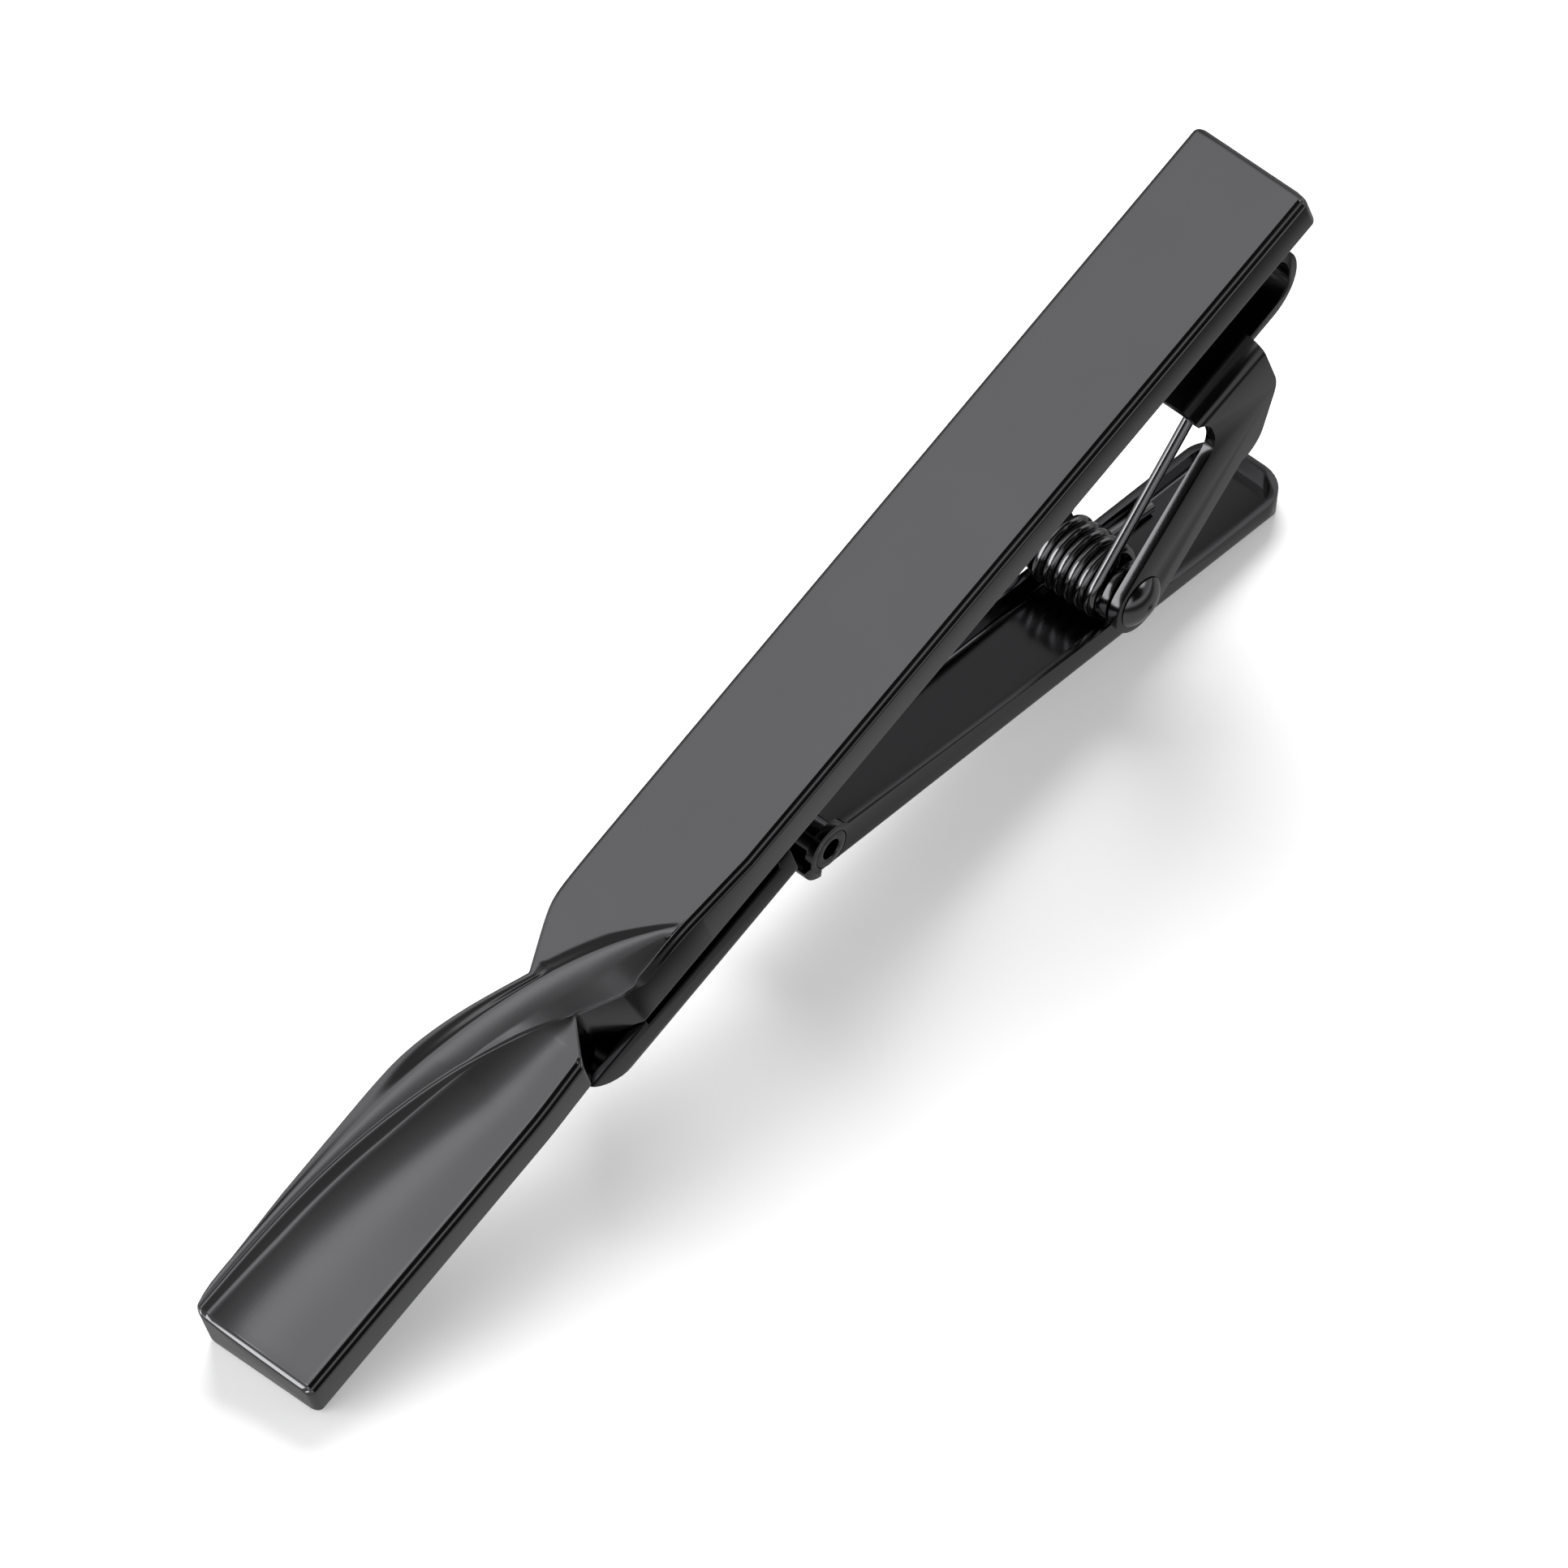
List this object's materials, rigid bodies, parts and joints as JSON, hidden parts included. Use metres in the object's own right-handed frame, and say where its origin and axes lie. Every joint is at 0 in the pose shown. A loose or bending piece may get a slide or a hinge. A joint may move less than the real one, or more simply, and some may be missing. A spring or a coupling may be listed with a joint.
{
  "type": "tie clip",
  "caption": "Tie clip with a slim front bar that twists at a waist, and a sprung jaw with a hollow tip roll that closes on the bar's flat back.",
  "frame": {"origin": "the middle of the bar's flat back", "axes": "+X along the bar towards the spring end, +Y across the bar to its left side as the front is seen with the spring end up, +Z out of the front face"},
  "size_m": [0.0586, 0.0062, 0.0182],
  "materials": {
    "black_chrome": "polished black chrome plate",
    "spring_wire": "bright drawn wire, black plated"
  },
  "bodies": {
    "bar": {"front_bar": "black_chrome", "back_strap": "black_chrome", "spring_bracket": "black_chrome", "pivot_pin": "black_chrome", "torsion_spring": "spring_wire"},
    "jaw_body": {"jaw": "black_chrome", "tip_roll": "black_chrome"}
  },
  "joints": [
    {"name": "jaw_pivot", "type": "hinge", "parent": "bar", "child": "jaw_body", "pos_m": [0.016, 0, -0.0097], "axis": [0, -1, 0], "range_deg": [-11, 40], "stiffness_Nm_per_rad": 0.03, "deforming": ["torsion_spring"]}
  ]
}
